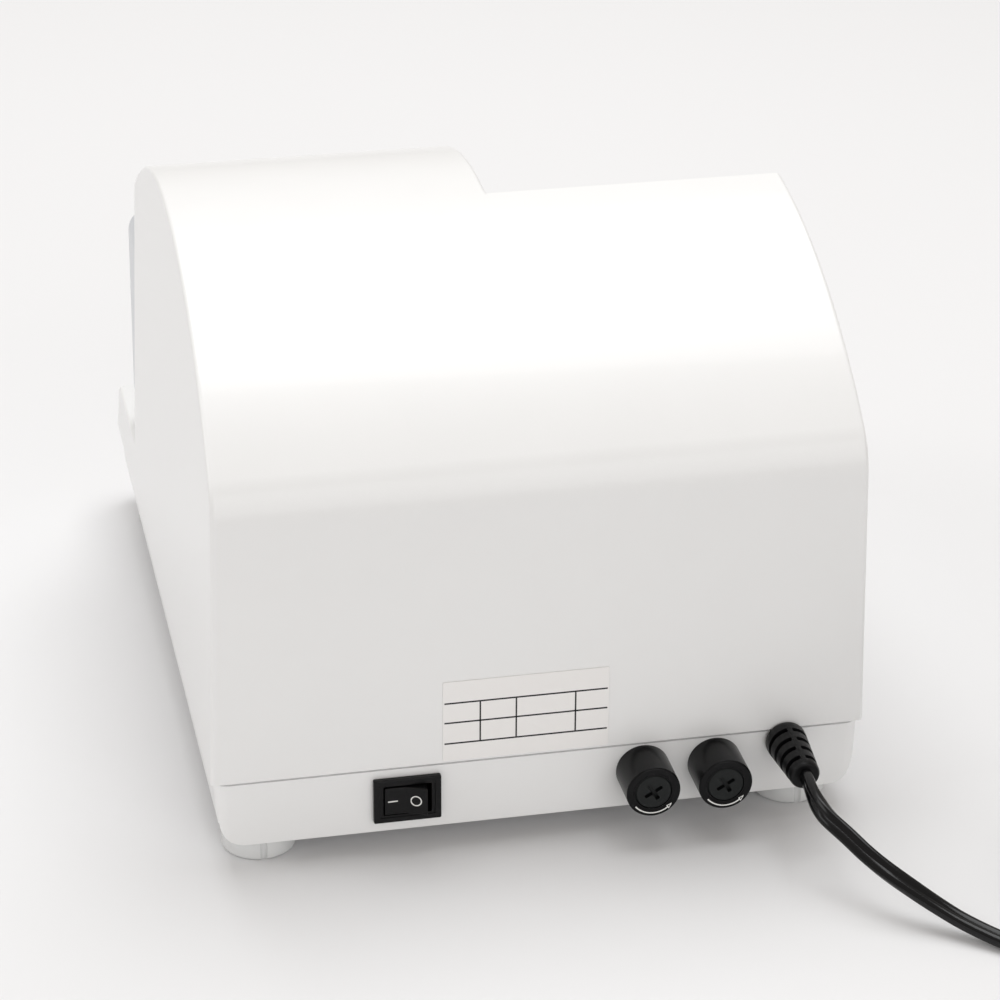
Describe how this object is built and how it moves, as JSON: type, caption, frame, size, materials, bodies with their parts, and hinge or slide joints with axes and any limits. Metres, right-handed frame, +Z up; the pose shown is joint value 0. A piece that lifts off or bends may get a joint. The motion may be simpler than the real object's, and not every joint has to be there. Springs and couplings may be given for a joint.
{
  "type": "dental amalgamator",
  "caption": "Bench capsule mixer with a domed white case, a clear lid over the mixing chamber, a shaken capsule fork, a control console, rear switch, fuses and mains lead.",
  "frame": {"origin": "middle of the footprint of the machine without its lead, at the bottom of the feet", "axes": "+Z up, the operator stands on the -Y side, +X is the operator's right"},
  "size_m": [0.3247, 0.3863, 0.1767],
  "materials": {
    "shell_white": "smooth satin-gloss ABS",
    "foot_soft": "pale translucent soft plastic",
    "screw_steel": "zinc plated",
    "label_paper": "coated paper",
    "switch_black": "fine texture",
    "rocker_black": "fine texture",
    "fuse_black": "moulded, half gloss",
    "carrier_black": "moulded",
    "nut_black": "moulded",
    "fuse_glass": "glass tube with nickel caps",
    "boot_rubber": "soft PVC",
    "tub_grey": "fine texture",
    "lid_clear": "clear acrylic",
    "bracket_steel": "stamped stainless",
    "magnet_nickel": "nickel plated",
    "sensor_black": "potted",
    "console_grey": "satin ABS",
    "overlay_film": "printed polyester film",
    "window_red": "tinted acrylic",
    "display_dark": "potted display",
    "board_green": "solder mask",
    "key_green": "soft satin",
    "key_red": "soft satin",
    "key_grey": "soft satin",
    "zinc_steel": "zinc plated sheet",
    "black_rubber": "moulded rubber",
    "cast_grey": "cast, painted",
    "motor_paint": "painted",
    "bronze": "sintered bronze",
    "shaft_steel": "ground steel",
    "bearing_steel": "polished",
    "arm_aluminium": "bead blasted",
    "jaw_steel": "turned steel",
    "guide_nylon": "machined nylon",
    "core_steel": "varnished laminations",
    "copper_coil": "taped winding",
    "cord_black": "soft PVC",
    "tie_black": "coated wire tie",
    "plug_black": "moulded PVC",
    "pin_brass": "nickel plated brass"
  },
  "bodies": {
    "root": {"base_pan": "shell_white", "feet": "foot_soft", "foot_screws": "screw_steel", "upper_housing": "shell_white", "shell_screws": "screw_steel", "rating_label": "label_paper", "switch_body": "switch_black", "fuse_body_a": "fuse_black", "fuse_body_b": "fuse_black", "fuse_nuts": "nut_black", "cord_boot": "boot_rubber", "chamber_tub": "tub_grey", "hinge_brackets": "bracket_steel", "hinge_pins": "bracket_steel", "reed_switch": "sensor_black", "control_console": "console_grey", "panel_overlay": "overlay_film", "display_window": "window_red", "display_module": "display_dark", "control_board": "board_green", "chassis_plate": "zinc_steel", "isolators": "black_rubber", "motor_cradle": "cast_grey", "motor_straps": "zinc_steel", "motor_body": "motor_paint", "wall_bush": "bronze", "tail_guide": "guide_nylon", "transformer_core": "core_steel", "transformer_coil": "copper_coil", "power_board": "board_green", "cord": "cord_black", "cord_coil": "cord_black", "cord_tail": "cord_black", "cord_tie": "tie_black", "plug_body": "plug_black", "plug_pins": "pin_brass"},
    "lid": {"lid": "lid_clear", "lid_magnet": "magnet_nickel"},
    "rocker": {"rocker": "rocker_black"},
    "fuse_a": {"fuse_link_a": "fuse_glass"},
    "carrier_a": {"fuse_carrier_a": "carrier_black"},
    "fuse_b": {"fuse_link_b": "fuse_glass"},
    "carrier_b": {"fuse_carrier_b": "carrier_black"},
    "shaft": {"rotor_shaft": "shaft_steel", "skew_hub": "shaft_steel", "counterweight": "shaft_steel", "bearing_inner": "bearing_steel"},
    "arm": {"bearing_outer": "bearing_steel", "bearing_balls": "bearing_steel", "shaker_arm": "arm_aluminium", "capsule_fork": "arm_aluminium"},
    "jaw": {"clamp_jaw": "jaw_steel"},
    "key_start": {"key_start": "key_green"},
    "key_stop": {"key_stop": "key_red"},
    "key_plus": {"key_plus": "key_grey"},
    "key_minus": {"key_minus": "key_grey"}
  },
  "joints": [
    {"name": "lid_hinge", "type": "hinge", "parent": "root", "child": "lid", "pos_m": [0, 0.0192, 0.16887], "axis": [-1, 0, 0], "range_deg": [0, 130]},
    {"name": "rocker_tilt", "type": "hinge", "parent": "root", "child": "rocker", "pos_m": [0.0424, 0.124, 0.0193], "axis": [0, 0, 1], "range_deg": [0, 22]},
    {"name": "shaft_spin", "type": "hinge", "parent": "root", "child": "shaft", "pos_m": [-0.0525, -0.0078, 0.08], "axis": [1, 0, 0], "continuous": true},
    {"name": "arm_nutation", "type": "hinge", "parent": "shaft", "child": "arm", "pos_m": [-0.0525, -0.0078, 0.08], "axis": [0.9945, 0.1045, 0], "continuous": true},
    {"name": "jaw_slide", "type": "slide", "parent": "arm", "child": "jaw", "axis": [0.9945, 0.1045, 0], "range_m": [0, 0.004], "stiffness_N_per_m": 800, "springref_m": -0.004},
    {"name": "fuse_a_draw", "type": "slide", "parent": "root", "child": "fuse_a", "axis": [0, 1, 0], "range_m": [0, 0.035]},
    {"name": "carrier_a_turn", "type": "hinge", "parent": "fuse_a", "child": "carrier_a", "pos_m": [-0.032, 0.1388, 0.0205], "axis": [0, -1, 0], "range_deg": [0, 60]},
    {"name": "fuse_b_draw", "type": "slide", "parent": "root", "child": "fuse_b", "axis": [0, 1, 0], "range_m": [0, 0.035]},
    {"name": "carrier_b_turn", "type": "hinge", "parent": "fuse_b", "child": "carrier_b", "pos_m": [-0.0549, 0.1388, 0.0205], "axis": [0, -1, 0], "range_deg": [0, 60]},
    {"name": "key_start_press", "type": "slide", "parent": "root", "child": "key_start", "axis": [0, 0.9956, -0.0941], "range_m": [0, 0.0008], "stiffness_N_per_m": 400, "springref_m": -0.0005},
    {"name": "key_stop_press", "type": "slide", "parent": "root", "child": "key_stop", "axis": [0, 0.9956, -0.0941], "range_m": [0, 0.0008], "stiffness_N_per_m": 400, "springref_m": -0.0005},
    {"name": "key_plus_press", "type": "slide", "parent": "root", "child": "key_plus", "axis": [0, 0.9956, -0.0941], "range_m": [0, 0.0008], "stiffness_N_per_m": 400, "springref_m": -0.0005},
    {"name": "key_minus_press", "type": "slide", "parent": "root", "child": "key_minus", "axis": [0, 0.9956, -0.0941], "range_m": [0, 0.0008], "stiffness_N_per_m": 400, "springref_m": -0.0005}
  ],
  "couplings": [
    {"joint": "arm_nutation", "follows": "shaft_spin", "ratio": -1}
  ]
}
